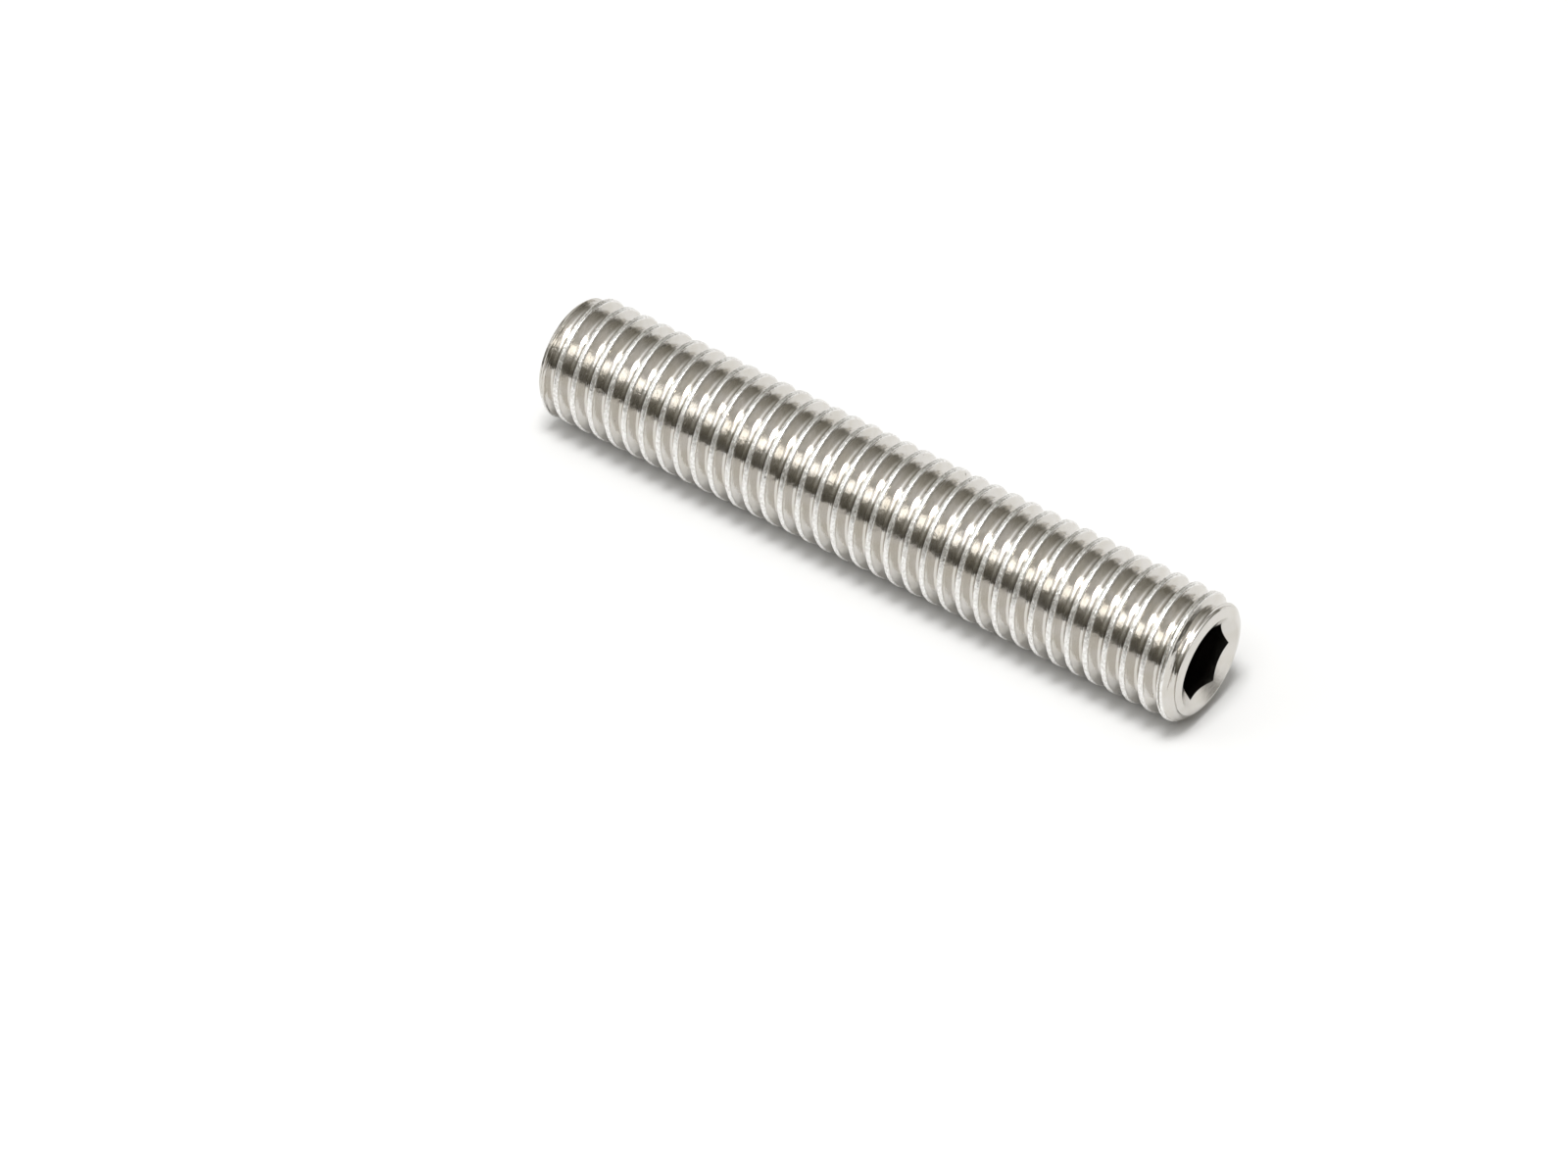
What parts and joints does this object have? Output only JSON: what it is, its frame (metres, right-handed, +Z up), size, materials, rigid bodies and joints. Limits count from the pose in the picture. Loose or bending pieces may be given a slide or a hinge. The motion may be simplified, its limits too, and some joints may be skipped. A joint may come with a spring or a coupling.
{
  "type": "double ended stud",
  "caption": "Stainless stud, threaded from end to end, chamfered at both ends, with a hexagon socket in one end.",
  "frame": {"origin": "on the surface that the stud lies on, under the middle of its length and of its thread", "axes": "+X along the stud's axis towards the socket end, +Z up from the surface that it lies on, +Y level and square to the axis"},
  "size_m": [0.045, 0.0078, 0.0078],
  "materials": {
    "stainless": "bright rolled stainless steel"
  },
  "bodies": {
    "root": {"stud": "stainless"}
  },
  "joints": []
}
